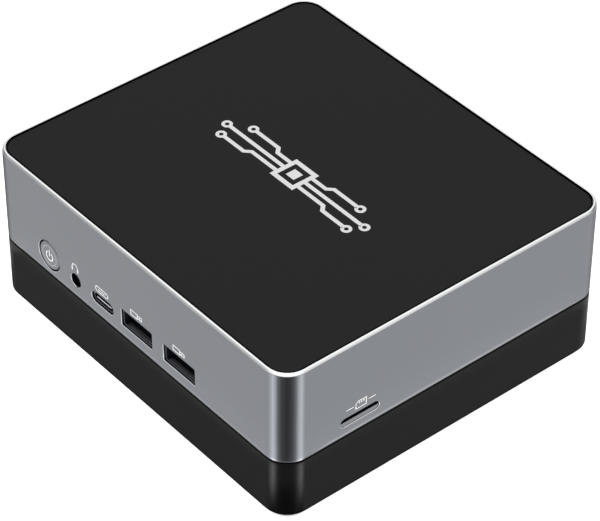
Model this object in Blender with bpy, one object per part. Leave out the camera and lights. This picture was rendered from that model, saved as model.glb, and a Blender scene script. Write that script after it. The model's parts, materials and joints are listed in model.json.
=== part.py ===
"""A compact square desktop computer, as the pieces it comes apart into.

Metres, +Z up. The origin is the middle of the footprint, on the surface that the feet stand on.
X runs to the right seen from the front, and the front faces -Y.

A piece is a stack of outlines, closed at both ends: slab() gives the outlines of a straight piece,
brick() those of a plain block, rod() those of a turned piece and collar() those of a hollow ring.
build() makes the solid, unite() adds stacks to it and carve() cuts them out of it.
"""

import math

import bmesh
import bpy
from mathutils import Vector

MM = 0.001

# Enclosure
WIDTH = 128.0 * MM
DEPTH = 114.5 * MM
BODY_HEIGHT = 50.6 * MM
FOOT_PROUD = 1.4 * MM
CORNER = 7.5 * MM
CORNER_STEPS = 8
SHELL_WALL = 1.4 * MM
RIM_WALL = 1.05 * MM
RIM_CHAMFER = 0.55 * MM
GAP = 0.3 * MM

# Heights above the surface that the feet stand on
BASE_BOTTOM = FOOT_PROUD
FLOOR_TOP = BASE_BOTTOM + 1.8 * MM
SPLIT = BASE_BOTTOM + 19.6 * MM
BODY_TOP = BASE_BOTTOM + BODY_HEIGHT
BOARD_TOP = BASE_BOTTOM + 22.7 * MM
BOARD_BOTTOM = BOARD_TOP - 1.6 * MM
ON_BOARD = BOARD_TOP + GAP
UNDER_BOARD = BOARD_BOTTOM - GAP
LID_TOP = BODY_TOP - 0.3 * MM
LID_BOTTOM = LID_TOP - 1.5 * MM
LEDGE_TOP = LID_BOTTOM - GAP
LEDGE_BOTTOM = LEDGE_TOP - 1.4 * MM

# Fastenings
POST_AT = (54.5 * MM, 47.75 * MM)
POST_RADIUS = 4.5 * MM
BOSS_RADIUS = 3.5 * MM
RIB = 1.6 * MM
BASE_SCREW_RADIUS = 1.3 * MM
BASE_SCREW_HOLE = 1.6 * MM
BASE_SCREW_END = BOARD_TOP + 10.0 * MM
COUNTERBORE_TOP = BASE_BOTTOM + 2.6 * MM
BOARD_SCREW_AT = (56.2 * MM, 20.0 * MM)
BOARD_SCREW_RADIUS = 1.0 * MM
BOARD_SCREW_HOLE = 1.3 * MM
FOOT_RADIUS = 5.5 * MM
FOOT_RECESS = 0.6 * MM
FOOT_HOLE = 3.1 * MM

# Front: centres across the face and up from the surface
FRONT, REAR = -1, 1
BUTTON_AT = (-38.6 * MM, BASE_BOTTOM + 26.3 * MM)
BUTTON_HOLE = 4.9 * MM
AUDIO_AT = (-26.2 * MM, BASE_BOTTOM + 25.4 * MM)
AUDIO_HOLE = 2.2 * MM
USB_C_AT = (-13.95 * MM, BASE_BOTTOM + 25.4 * MM)
USB_C_HOLE = (9.9 * MM, 3.8 * MM)
USB_A_HEIGHT = BASE_BOTTOM + 26.35 * MM
USB_A_HOLE = (13.6 * MM, 5.9 * MM)
USB_A_FRONT = {"left": 1.5 * MM, "right": 20.15 * MM}
CARD_AT = (-31.2 * MM, BASE_BOTTOM + 24.45 * MM)
CARD_HOLE = (13.4 * MM, 2.9 * MM)
SOCKET_RECESS = 0.6 * MM

# Rear
DC_AT = (44.5 * MM, BASE_BOTTOM + 28.5 * MM)
DC_HOLE = 4.2 * MM
HDMI_HEIGHT = BASE_BOTTOM + 27.0 * MM
HDMI = {"left": 12.5 * MM, "right": 30.0 * MM}
LAN_AT = (-6.5 * MM, BASE_BOTTOM + 29.7 * MM)
LAN_SIZE = (16.0 * MM, 13.4 * MM)
USB_A_REAR = {"left": -41.5 * MM, "right": -24.5 * MM}
REAR_VENT = (2.2 * MM, 6.0 * MM)
REAR_VENT_HEIGHT = BASE_BOTTOM + 42.6 * MM
REAR_VENTS, REAR_VENT_PITCH = 19, 5.2 * MM
FLOOR_VENT = (2.4 * MM, 10.0 * MM)
FLOOR_VENTS, FLOOR_VENT_PITCH = 15, 6.0 * MM
FLOOR_VENT_ROW = 44.5 * MM

# Board, cooling and storage
BOARD_SIZE = (118.6 * MM, 104.6 * MM)
COOLER_AT = (0.0, 4.0 * MM)
COOLER_SIZE = 62.0 * MM
COOLER_SCREW_OFFSET = 26.5 * MM
PLATE_BOTTOM = BOARD_TOP + 2.5 * MM
PLATE_TOP = PLATE_BOTTOM + 2.0 * MM
FIN_TOP = PLATE_TOP + 7.1 * MM
FAN_BOTTOM = FIN_TOP + GAP
FAN_SIZE = 60.0 * MM
FAN_THICK = 10.0 * MM
FAN_BORE = 28.0 * MM
FAN_HUB = 12.0 * MM
BLADES = 9
DRIVE_SIZE = (100.0 * MM, 69.8 * MM, 7.0 * MM)
DRIVE_BOTTOM = FLOOR_TOP + 1.4 * MM

# Piece: colour, roughness, metallic
FINISHES = {
    "silver": ((0.25, 0.26, 0.275), 0.35, 0.9),
    "black_cover": ((0.024, 0.024, 0.025), 0.5, 0.0),
    "rubber": ((0.02, 0.02, 0.02), 0.85, 0.0),
    "steel": ((0.45, 0.46, 0.47), 0.3, 1.0),
    "port_insulator": ((0.012, 0.012, 0.02), 0.45, 0.0),
    "board_green": ((0.01, 0.09, 0.05), 0.45, 0.0),
    "chip": ((0.02, 0.02, 0.022), 0.4, 0.0),
    "aluminium": ((0.6, 0.61, 0.62), 0.35, 1.0),
    "fan_plastic": ((0.018, 0.018, 0.02), 0.5, 0.0),
    "drive_metal": ((0.4, 0.41, 0.42), 0.4, 0.9),
    "ribbon": ((0.5, 0.32, 0.08), 0.5, 0.0),
    "cable": ((0.03, 0.03, 0.03), 0.6, 0.0),
}


# ---- shapes

def rectangle(size, center=(0.0, 0.0), radius=0.0, steps=4, inset=0.0):
    """Outline of a rectangle, anticlockwise, with round corners where radius is above 0."""
    half_u, half_v = size[0] / 2 - inset, size[1] / 2 - inset
    bend = radius - inset if radius else 0.0
    arc = range(steps + 1) if radius else (0,)
    points = []
    for quarter, (side_u, side_v) in enumerate(((1, 1), (-1, 1), (-1, -1), (1, -1))):
        for step in arc:
            angle = math.pi / 2 * (quarter + step / steps)
            u = center[0] + side_u * (half_u - bend) + bend * math.cos(angle)
            v = center[1] + side_v * (half_v - bend) + bend * math.sin(angle)
            points.append((u, v))
    near = 0.01 * MM
    return [p for i, p in enumerate(points) if math.dist(p, points[i - 1]) > near]


def circle(radius, center=(0.0, 0.0), sides=24):
    """Outline of a circle, anticlockwise."""
    turns = [2 * math.pi * i / sides for i in range(sides)]
    return [(center[0] + radius * math.cos(a), center[1] + radius * math.sin(a)) for a in turns]


def placed(outline, along, axis="Z"):
    """An outline's points in space, at a distance along an axis."""
    if axis == "X":
        return [Vector((along, u, v)) for u, v in outline]
    if axis == "Y":
        return [Vector((u, along, v)) for u, v in outline]
    return [Vector((u, v, along)) for u, v in outline]


def slab(size, center, span, axis="Z", radius=0.0, steps=4, chamfers=(0.0, 0.0)):
    """Stack of a straight piece: its section across the axis, its span along it, its end chamfers."""
    levels = [(span[0], chamfers[0])]
    if chamfers[0]:
        levels.append((span[0] + chamfers[0], 0.0))
    if chamfers[1]:
        levels.append((span[1] - chamfers[1], 0.0))
    levels.append((span[1], chamfers[1]))
    return [placed(rectangle(size, center, radius, steps, inset), along, axis) for along, inset in levels]


def brick(x, y, z):
    """Stack of a plain block between two faces on each axis."""
    return slab((x[1] - x[0], y[1] - y[0]), ((x[0] + x[1]) / 2, (y[0] + y[1]) / 2), z)


def rod(profile, center=(0.0, 0.0), axis="Z", sides=24):
    """Stack of a turned piece: radius and distance along the axis at each step of its profile."""
    return [placed(circle(radius, center, sides), along, axis) for radius, along in profile]


def collar(size, thickness, span, radius):
    """Closed stack of an upright rectangular ring with round corners."""
    outer = rectangle(size, radius=radius, steps=CORNER_STEPS)
    inner = rectangle(size, radius=radius, steps=CORNER_STEPS, inset=thickness)
    stack = [placed(outer, span[0]), placed(outer, span[1]), placed(inner, span[1]), placed(inner, span[0])]
    return stack + [stack[0]]


def across(center, width):
    """The two ends of a width about its centre."""
    return (center - width / 2, center + width / 2)


def behind(face, *depths):
    """Places along Y at these depths behind the outer face of the front or the rear wall, low first."""
    return sorted(face * (DEPTH / 2 - depth) for depth in depths)


# ---- solids

def mesh_of(name, stacks, pivot=Vector()):
    """One mesh holding a closed skin round each stack. A stack that ends on its first outline is a ring."""
    model = bmesh.new()
    for stack in stacks:
        ring = stack[-1] is stack[0]
        loops = [[model.verts.new(p - pivot) for p in outline] for outline in stack[: -1 if ring else None]]
        pairs = list(zip(loops, loops[1:])) + ([(loops[-1], loops[0])] if ring else [])
        for low, high in pairs:
            for i in range(len(low)):
                model.faces.new((low[i - 1], low[i], high[i], high[i - 1]))
        if not ring:
            model.faces.new(loops[0])
            model.faces.new(loops[-1])
    bmesh.ops.recalc_face_normals(model, faces=model.faces[:])
    mesh = bpy.data.meshes.new(name)
    model.to_mesh(mesh)
    model.free()
    return mesh


def coated(thing, name, finish):
    """Gives a piece its own material."""
    colour, roughness, metallic = FINISHES[finish]
    material = bpy.data.materials.new(name)
    material.use_nodes = True
    shader = material.node_tree.nodes["Principled BSDF"]
    shader.inputs["Base Color"].default_value = (*colour, 1.0)
    shader.inputs["Roughness"].default_value = roughness
    shader.inputs["Metallic"].default_value = metallic
    thing.data.materials.append(material)
    return thing


def build(name, finish, *stacks, pivot=(0.0, 0.0, 0.0)):
    """A piece of the computer. Its origin is at pivot, which is on its joint's axis if it moves."""
    mesh = mesh_of(name, stacks, Vector(pivot))
    mesh.shade_smooth()
    mesh.set_sharp_from_angle(angle=math.radians(35))
    piece = bpy.data.objects.new(name, mesh)
    piece.location = pivot
    bpy.context.scene.collection.objects.link(piece)
    return coated(piece, name, finish)


def combine(piece, stacks, operation):
    """Adds stacks to a piece, or cuts them out of it, all in one step. They don't overlap each other."""
    name = f"{piece.name}.tool{len(piece.modifiers)}"
    tool = bpy.data.objects.new(name, mesh_of(name, stacks))
    bpy.context.scene.collection.objects.link(tool)
    tool.hide_render = True
    tool.display_type = "WIRE"
    step = piece.modifiers.new(name, "BOOLEAN")
    step.operation = operation
    step.solver = "EXACT"
    step.object = tool


def unite(piece, *stacks):
    combine(piece, stacks, "UNION")


def carve(piece, *stacks):
    combine(piece, stacks, "DIFFERENCE")


def lead(name, finish, radius, route):
    """A thin round cable along a smooth curve through the route's points."""
    points = [Vector(p) for p in route]
    padded = [2 * points[0] - points[1], *points, 2 * points[-1] - points[-2]]
    line = []
    for before, start, end, after in zip(padded, padded[1:], padded[2:], padded[3:]):
        for step in range(4):
            t = step / 4
            line.append(0.5 * (
                2 * start + (end - before) * t
                + (2 * before - 5 * start + 4 * end - after) * t**2
                + (3 * start - before - 3 * end + after) * t**3
            ))
    line.append(points[-1])
    curve = bpy.data.curves.new(name, "CURVE")
    curve.dimensions = "3D"
    curve.bevel_depth = radius
    curve.bevel_resolution = 2
    curve.use_fill_caps = True
    spline = curve.splines.new("POLY")
    spline.points.add(len(line) - 1)
    for point, place in zip(spline.points, line):
        point.co = (*place, 1.0)
    piece = bpy.data.objects.new(name, curve)
    bpy.context.scene.collection.objects.link(piece)
    return coated(piece, name, finish)


CORNERS = {
    "front_left": (-1, -1),
    "front_right": (1, -1),
    "rear_left": (-1, 1),
    "rear_right": (1, 1),
}
SIDES = {"left": -1, "right": 1}


def at_corner(signs, place=POST_AT):
    return (signs[0] * place[0], signs[1] * place[1])


# ---- enclosure

def hdmi_outline(center, grow=0.0):
    """Outline of the socket, whose lower corners are cut off."""
    half_width, half_height = 7.25 * MM + grow, 2.6 * MM + grow
    cut_width, cut_height = 5.3 * MM + grow, 0.7 * MM
    shape = (
        (half_width, half_height), (-half_width, half_height), (-half_width, -cut_height),
        (-cut_width, -half_height), (cut_width, -half_height), (half_width, -cut_height),
    )
    return [(center[0] + u, center[1] + v) for u, v in shape]


def make_middle_shell():
    shell = build("middle_shell", "silver", slab(
        (WIDTH, DEPTH), (0, 0), (SPLIT, BODY_TOP), radius=CORNER, steps=CORNER_STEPS,
        chamfers=(0.3 * MM, RIM_CHAMFER),
    ))
    room = (WIDTH - 2 * SHELL_WALL, DEPTH - 2 * SHELL_WALL)
    window = (room[0] - 6.0 * MM, room[1] - 6.0 * MM)
    bend = CORNER - SHELL_WALL
    over = 2.0 * MM
    carve(shell, slab(room, (0, 0), (SPLIT - over, LEDGE_BOTTOM), radius=bend, steps=CORNER_STEPS))
    pocket = (WIDTH - 2 * RIM_WALL, DEPTH - 2 * RIM_WALL)
    pocket_span = (LEDGE_TOP, BODY_TOP + over)
    carve(shell, slab(pocket, (0, 0), pocket_span, radius=CORNER - RIM_WALL, steps=CORNER_STEPS))
    carve(shell, slab(window, (0, 0), (LEDGE_BOTTOM - over, LEDGE_TOP + over), radius=3.0 * MM))

    boss_top = LEDGE_BOTTOM + 0.7 * MM
    rib_bottom = ON_BOARD + 1.5 * MM
    wall_x, wall_y = room[0] / 2 + 0.5 * MM, room[1] / 2 + 0.5 * MM
    posts = [at_corner(signs) for signs in CORNERS.values()]
    unite(shell, *[rod([(BOSS_RADIUS, ON_BOARD), (BOSS_RADIUS, boss_top)], post) for post in posts])
    for x, y in posts:
        side_x, side_y = math.copysign(1, x), math.copysign(1, y)
        unite(shell, brick(sorted((x, side_x * wall_x)), across(y, RIB), (rib_bottom, boss_top)))
        unite(shell, brick(across(x, RIB), sorted((y, side_y * wall_y)), (rib_bottom, boss_top)))
    side_top = ON_BOARD + 12.0 * MM
    for side in SIDES.values():
        x, y = side * BOARD_SCREW_AT[0], BOARD_SCREW_AT[1]
        unite(shell, brick(sorted((x, side * wall_x)), across(y, RIB), (rib_bottom, side_top)))
        unite(shell, rod([(2.6 * MM, ON_BOARD), (2.6 * MM, side_top + 0.5 * MM)], (x, y), sides=16))
        bore_end = ON_BOARD + 7.0 * MM
        carve(shell, rod([(BOARD_SCREW_HOLE, SPLIT), (BOARD_SCREW_HOLE, bore_end)], (x, y), sides=12))
    hole_end = BASE_SCREW_END + 1.0 * MM
    carve(shell, *[rod([(BASE_SCREW_HOLE, SPLIT), (BASE_SCREW_HOLE, hole_end)], p, sides=12) for p in posts])

    front = behind(FRONT, -1.0 * MM, SHELL_WALL + 0.1 * MM)
    rear = behind(REAR, -1.0 * MM, SHELL_WALL + 0.1 * MM)
    carve(
        shell,
        rod([(BUTTON_HOLE, front[0]), (BUTTON_HOLE, front[1])], BUTTON_AT, "Y", 40),
        rod([(AUDIO_HOLE, front[0]), (AUDIO_HOLE, front[1])], AUDIO_AT, "Y", 24),
        slab(USB_C_HOLE, USB_C_AT, front, "Y", radius=USB_C_HOLE[1] / 2, steps=5),
        *[slab(USB_A_HOLE, (x, USB_A_HEIGHT), front, "Y", radius=0.5 * MM, steps=2)
          for x in USB_A_FRONT.values()],
        slab(CARD_HOLE, CARD_AT, (WIDTH / 2 - SHELL_WALL - 0.1 * MM, WIDTH / 2 + 1.0 * MM), "X",
             radius=CARD_HOLE[1] / 2, steps=5),
    )
    lan_hole = (LAN_SIZE[0] + 2 * GAP, LAN_SIZE[1] + 2 * GAP)
    carve(
        shell,
        rod([(DC_HOLE, rear[0]), (DC_HOLE, rear[1])], DC_AT, "Y", 28),
        *[[placed(hdmi_outline((x, HDMI_HEIGHT), GAP), y, "Y") for y in rear] for x in HDMI.values()],
        slab(lan_hole, LAN_AT, rear, "Y", radius=0.5 * MM, steps=2),
        *[slab(USB_A_HOLE, (x, USB_A_HEIGHT), rear, "Y", radius=0.5 * MM, steps=2)
          for x in USB_A_REAR.values()],
        *[slab(REAR_VENT, ((i - (REAR_VENTS - 1) / 2) * REAR_VENT_PITCH, REAR_VENT_HEIGHT), rear, "Y",
               radius=REAR_VENT[0] / 2, steps=2) for i in range(REAR_VENTS)],
    )


def make_top_lid():
    inset = RIM_WALL + GAP
    size = (WIDTH - 2 * inset, DEPTH - 2 * inset)
    lid = build("top_lid", "black_cover", slab(
        size, (0, 0), (LID_BOTTOM, LID_TOP), radius=CORNER - inset, steps=CORNER_STEPS,
        chamfers=(0.0, 0.2 * MM),
    ))
    leg_out = WIDTH / 2 - SHELL_WALL - 3.0 * MM - GAP
    hook_top = LEDGE_BOTTOM - GAP
    hook_bottom = hook_top - 1.0 * MM
    for side in SIDES.values():
        for y in (-30.0 * MM, 30.0 * MM):
            leg = sorted((side * (leg_out - 1.2 * MM), side * leg_out))
            hook = sorted((side * (leg_out - 0.6 * MM), side * (leg_out + 1.0 * MM)))
            unite(lid, brick(leg, across(y, 8.0 * MM), (hook_bottom, LID_BOTTOM + 0.4 * MM)))
            unite(lid, brick(hook, across(y, 7.0 * MM), (hook_bottom + 0.1 * MM, hook_top)))


def make_base_cover():
    wall = 2.0 * MM
    cover = build("base_cover", "black_cover", slab(
        (WIDTH, DEPTH), (0, 0), (BASE_BOTTOM, SPLIT - GAP), radius=CORNER, steps=CORNER_STEPS,
        chamfers=(0.8 * MM, 0.2 * MM),
    ))
    room = (WIDTH - 2 * wall, DEPTH - 2 * wall)
    carve(cover, slab(room, (0, 0), (FLOOR_TOP, SPLIT + 1.0 * MM), radius=CORNER - wall, steps=CORNER_STEPS))
    lip_in = SHELL_WALL + GAP
    lip = (WIDTH - 2 * lip_in, DEPTH - 2 * lip_in)
    lip_top = BOARD_BOTTOM - 0.2 * MM
    unite(cover, collar(lip, 1.0 * MM, (SPLIT - 3.3 * MM, lip_top), CORNER - lip_in))
    posts = [at_corner(signs) for signs in CORNERS.values()]
    unite(cover, *[rod([(POST_RADIUS, FLOOR_TOP - 0.8 * MM), (POST_RADIUS, UNDER_BOARD)], p) for p in posts])
    under = BASE_BOTTOM - 1.0 * MM
    over = UNDER_BOARD + 1.0 * MM
    recess = FOOT_RADIUS + GAP
    carve(cover, *[rod([(recess, under), (recess, BASE_BOTTOM + FOOT_RECESS)], p) for p in posts])
    bore = 2.8 * MM
    carve(cover, *[rod([(bore, under), (bore, COUNTERBORE_TOP)], p, sides=20) for p in posts])
    screw_bore = [(BASE_SCREW_HOLE, BASE_BOTTOM), (BASE_SCREW_HOLE, over)]
    carve(cover, *[rod(screw_bore, p, sides=12) for p in posts])
    first = -(FLOOR_VENTS - 1) / 2 * FLOOR_VENT_PITCH
    carve(cover, *[
        slab(FLOOR_VENT, (first + i * FLOOR_VENT_PITCH, row), (under, FLOOR_TOP + 1.0 * MM),
             radius=FLOOR_VENT[0] / 2, steps=2)
        for i in range(FLOOR_VENTS) for row in (-FLOOR_VENT_ROW, FLOOR_VENT_ROW)
    ])


def make_feet_and_base_screws():
    foot_top = BASE_BOTTOM + FOOT_RECESS - GAP
    head_top = COUNTERBORE_TOP - GAP
    head_bottom = head_top - 1.3 * MM
    for number, (corner, signs) in enumerate(CORNERS.items(), start=1):
        place = at_corner(signs)
        foot = build(f"foot_{corner}", "rubber", rod(
            [(FOOT_RADIUS - 0.3 * MM, 0.0), (FOOT_RADIUS, 0.3 * MM), (FOOT_RADIUS, foot_top)], place,
        ))
        carve(foot, rod([(FOOT_HOLE, -MM), (FOOT_HOLE, foot_top + MM)], place, sides=20))
        screw = build(f"base_screw_{number}", "steel", rod(
            [(2.1 * MM, head_bottom), (2.4 * MM, head_bottom + 0.3 * MM), (2.4 * MM, head_top),
             (BASE_SCREW_RADIUS, head_top), (BASE_SCREW_RADIUS, BASE_SCREW_END)], place, sides=16,
        ))
        carve(screw, rod([(1.2 * MM, head_bottom - MM), (1.2 * MM, head_bottom + 0.8 * MM)], place, sides=6))


# ---- power control

def make_power_control():
    x, z = BUTTON_AT
    face, edge, flange, flange_back = behind(FRONT, 0.1 * MM, 0.4 * MM, 1.7 * MM, 2.5 * MM)
    stem_end, tip, switch_front, switch_back = behind(FRONT, 6.95 * MM, 7.25 * MM, 8.45 * MM, 12.45 * MM)
    button = build("power_button", "silver", rod(
        [(4.3 * MM, face), (4.6 * MM, edge), (4.6 * MM, flange + 0.3 * MM)], BUTTON_AT, "Y", 40,
    ), pivot=(x, face, z))
    flange_size = (11.4 * MM, 9.4 * MM)
    unite(button, slab(flange_size, BUTTON_AT, (flange, flange_back), "Y", radius=1.0 * MM, steps=2))
    unite(button, rod([(1.5 * MM, flange_back - 0.3 * MM), (1.5 * MM, stem_end)], BUTTON_AT, "Y", 16))

    switch = build("power_switch", "chip", brick(
        across(x, 6.0 * MM), (switch_front, switch_back), (ON_BOARD, ON_BOARD + 6.0 * MM),
    ))
    bore = 1.6 * MM
    carve(switch, rod([(bore, switch_front - MM), (bore, switch_front + 2.8 * MM)], BUTTON_AT, "Y", 16))
    build("switch_plunger", "port_insulator", rod(
        [(1.0 * MM, tip), (1.2 * MM, tip + 0.2 * MM), (1.2 * MM, tip + 3.0 * MM)], BUTTON_AT, "Y", 16,
    ), pivot=(x, tip, z))


# ---- sockets

def legs(center, spread, face, depths, top):
    """Two feet that stand a socket on the board."""
    return [brick(across(center + side * spread, 0.6 * MM), behind(face, *depths), (ON_BOARD, top))
            for side in SIDES.values()]


def make_audio_jack():
    jack = build("audio_jack", "port_insulator", brick(
        across(AUDIO_AT[0], 6.6 * MM), behind(FRONT, SHELL_WALL + GAP, 14.0 * MM),
        (ON_BOARD, ON_BOARD + 5.0 * MM),
    ))
    bore = 1.8 * MM
    low, high = behind(FRONT, 1.0 * MM, 12.5 * MM)
    carve(jack, rod([(bore, low), (bore, high)], AUDIO_AT, "Y", 20))


def make_usb_c():
    x, z = USB_C_AT
    outer, thickness = (9.0 * MM, 3.2 * MM), 0.3 * MM
    inner = (outer[0] - 2 * thickness, outer[1] - 2 * thickness)
    shell = build("usb_c_shell", "steel", slab(
        outer, USB_C_AT, behind(FRONT, SOCKET_RECESS, 8.9 * MM), "Y", radius=1.6 * MM, steps=5,
    ))
    unite(shell, *legs(x, 2.6 * MM, FRONT, (3.0 * MM, 8.0 * MM), z - 1.4 * MM))
    carve(shell, slab(inner, USB_C_AT, behind(FRONT, -MM, 8.6 * MM), "Y", radius=1.3 * MM, steps=5))
    tongue = build("usb_c_tongue", "port_insulator", slab(
        (6.6 * MM, 0.7 * MM), USB_C_AT, behind(FRONT, 1.3 * MM, 8.0 * MM), "Y",
    ))
    unite(tongue, slab((7.7 * MM, 1.9 * MM), USB_C_AT, behind(FRONT, 6.6 * MM, 8.3 * MM), "Y",
                       radius=0.9 * MM, steps=3))


def make_usb_a(name, x, face):
    """A full-size socket: its steel shell on the board, and the tongue that carries the contacts."""
    outer, thickness = (13.1 * MM, 5.4 * MM), 0.3 * MM
    inner = (outer[0] - 2 * thickness, outer[1] - 2 * thickness)
    center = (x, USB_A_HEIGHT)
    shell = build(f"{name}_shell", "steel", slab(
        outer, center, behind(face, SOCKET_RECESS, 14.8 * MM), "Y", radius=0.5 * MM, steps=2,
    ))
    unite(shell, *legs(x, 5.2 * MM, face, (5.0 * MM, 12.0 * MM), USB_A_HEIGHT - 2.6 * MM))
    carve(shell, slab(inner, center, behind(face, -MM, 14.5 * MM), "Y", radius=0.3 * MM, steps=2))
    tongue = build(f"{name}_tongue", "port_insulator", slab(
        (11.2 * MM, 1.7 * MM), (x, USB_A_HEIGHT + 0.95 * MM), behind(face, 1.9 * MM, 12.0 * MM), "Y",
    ))
    unite(tongue, slab((11.9 * MM, 4.2 * MM), center, behind(face, 10.9 * MM, 14.2 * MM), "Y"))


def make_card_socket():
    y, z = CARD_AT
    mouth = WIDTH / 2 - SHELL_WALL - GAP
    socket = build("card_socket", "steel", brick(
        (mouth - 15.0 * MM, mouth), across(y, 14.0 * MM), (ON_BOARD, ON_BOARD + 2.2 * MM),
    ))
    carve(socket, slab((11.3 * MM, 1.1 * MM), (y, z - 0.15 * MM), (mouth - 13.0 * MM, mouth + MM), "X"))


def make_dc_inlet():
    jack = build("dc_jack", "port_insulator", brick(
        across(DC_AT[0], 9.0 * MM), behind(REAR, SHELL_WALL + GAP, 14.0 * MM),
        (ON_BOARD, ON_BOARD + 11.0 * MM),
    ))
    nose, bore = DC_HOLE - GAP, 3.2 * MM
    low, high = behind(REAR, SOCKET_RECESS, 2.2 * MM)
    unite(jack, rod([(nose, low), (nose, high)], DC_AT, "Y", 28))
    low, high = behind(REAR, -MM, 11.5 * MM)
    carve(jack, rod([(bore, low), (bore, high)], DC_AT, "Y", 28))
    low, high = behind(REAR, 1.4 * MM, 11.2 * MM)
    build("dc_pin", "steel", rod([(1.0 * MM, low), (1.0 * MM, high - 0.4 * MM), (0.7 * MM, high)],
                                 DC_AT, "Y", 16))


def make_hdmi(name, x):
    center = (x, HDMI_HEIGHT)
    shell = build(f"{name}_shell", "steel", [
        placed(hdmi_outline(center), y, "Y") for y in behind(REAR, SOCKET_RECESS, 12.0 * MM)
    ])
    unite(shell, *legs(x, 5.0 * MM, REAR, (4.0 * MM, 10.0 * MM), HDMI_HEIGHT - 2.4 * MM))
    carve(shell, [placed(hdmi_outline(center, -0.3 * MM), y, "Y") for y in behind(REAR, -MM, 11.7 * MM)])
    tongue = build(f"{name}_tongue", "port_insulator", slab(
        (9.8 * MM, 1.1 * MM), center, behind(REAR, 1.6 * MM, 10.0 * MM), "Y",
    ))
    unite(tongue, slab((10.0 * MM, 3.4 * MM), center, behind(REAR, 9.0 * MM, 11.4 * MM), "Y"))


def make_lan_jack():
    x, z = LAN_AT
    jack = build("lan_jack", "steel", slab(LAN_SIZE, LAN_AT, behind(REAR, 0.4 * MM, 16.5 * MM), "Y",
                                           radius=0.3 * MM, steps=2))
    plug = behind(REAR, -MM, 13.0 * MM)
    carve(jack, slab((12.0 * MM, 8.2 * MM), (x, z + 0.9 * MM), plug, "Y"))
    carve(jack, slab((6.2 * MM, 2.4 * MM), (x, z - 4.0 * MM), plug, "Y"))


# ---- board

def make_mainboard():
    board = build("mainboard", "board_green", slab(
        BOARD_SIZE, (0, 0), (BOARD_BOTTOM, BOARD_TOP), radius=2.0 * MM, steps=3,
    ))
    low, high = BOARD_BOTTOM - MM, BOARD_TOP + MM
    holes = [(at_corner(signs), 1.7 * MM) for signs in CORNERS.values()]
    holes += [((side * BOARD_SCREW_AT[0], BOARD_SCREW_AT[1]), BOARD_SCREW_HOLE) for side in SIDES.values()]
    holes += [(place, 1.4 * MM) for place in cooler_screw_places().values()]
    carve(board, *[rod([(radius, low), (radius, high)], place, sides=12) for place, radius in holes])


def make_board_screws():
    for name, side in SIDES.items():
        place = (side * BOARD_SCREW_AT[0], BOARD_SCREW_AT[1])
        build(f"board_screw_{name}", "steel", rod(
            [(1.9 * MM, UNDER_BOARD - 1.2 * MM), (2.2 * MM, UNDER_BOARD - 0.9 * MM), (2.2 * MM, UNDER_BOARD),
             (BOARD_SCREW_RADIUS, UNDER_BOARD), (BOARD_SCREW_RADIUS, ON_BOARD + 6.0 * MM)], place, sides=14,
        ))


def make_processor():
    x, y = COOLER_AT
    package = build("cpu_package", "chip", brick(
        across(x, 28.0 * MM), across(y, 24.0 * MM), (ON_BOARD, ON_BOARD + 1.2 * MM),
    ))
    die = (ON_BOARD + 0.6 * MM, PLATE_BOTTOM - GAP)
    unite(package, brick(across(x, 13.0 * MM), across(y, 10.0 * MM), die))


MEMORY_PIVOT = (35.1 * MM, 17.4 * MM)
MODULE_TOP = UNDER_BOARD - 2.1 * MM


def make_memory():
    """The module lies flat under the board. Its socket holds one long edge, and two latches the sides."""
    bottom = UNDER_BOARD - 5.2 * MM
    socket = build("memory_socket", "port_insulator", brick(
        (-36.5 * MM, 36.5 * MM), (18.5 * MM, 25.0 * MM), (bottom, UNDER_BOARD),
    ))
    for side in SIDES.values():
        ear = sorted((side * 34.0 * MM, side * 36.5 * MM))
        unite(socket, brick(ear, (16.0 * MM, 18.9 * MM), (UNDER_BOARD - 1.3 * MM, UNDER_BOARD)))
    carve(socket, brick((-34.1 * MM, 34.1 * MM), (17.0 * MM, 21.6 * MM),
                        (MODULE_TOP - 1.3 * MM, MODULE_TOP + GAP)))
    module = build("memory_module", "board_green", brick(
        (-33.8 * MM, 33.8 * MM), (-9.0 * MM, 21.2 * MM), (MODULE_TOP - 1.0 * MM, MODULE_TOP),
    ))
    chip_span = (MODULE_TOP - 2.0 * MM, MODULE_TOP - 0.8 * MM)
    unite(module, *[brick(across(x * MM, 11.0 * MM), (0.0, 11.0 * MM), chip_span)
                    for x in (-24.0, -8.5, 8.5, 24.0)])
    for name, side in SIDES.items():
        pivot_x = side * MEMORY_PIVOT[0]
        latch = build(f"memory_latch_{name}", "steel", brick(
            across(pivot_x, 1.0 * MM), (-5.0 * MM, MEMORY_PIVOT[1] + 0.7 * MM),
            (MODULE_TOP - 2.0 * MM, MODULE_TOP + 0.5 * MM),
        ), pivot=(pivot_x, MEMORY_PIVOT[1], MODULE_TOP))
        hook = sorted((side * 32.6 * MM, side * 35.0 * MM))
        unite(latch, brick(hook, (-4.6 * MM, -1.6 * MM), (MODULE_TOP - 1.8 * MM, MODULE_TOP - 1.3 * MM)))


SSD_ROW = -38.0 * MM
SSD_END = 36.5 * MM


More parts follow.
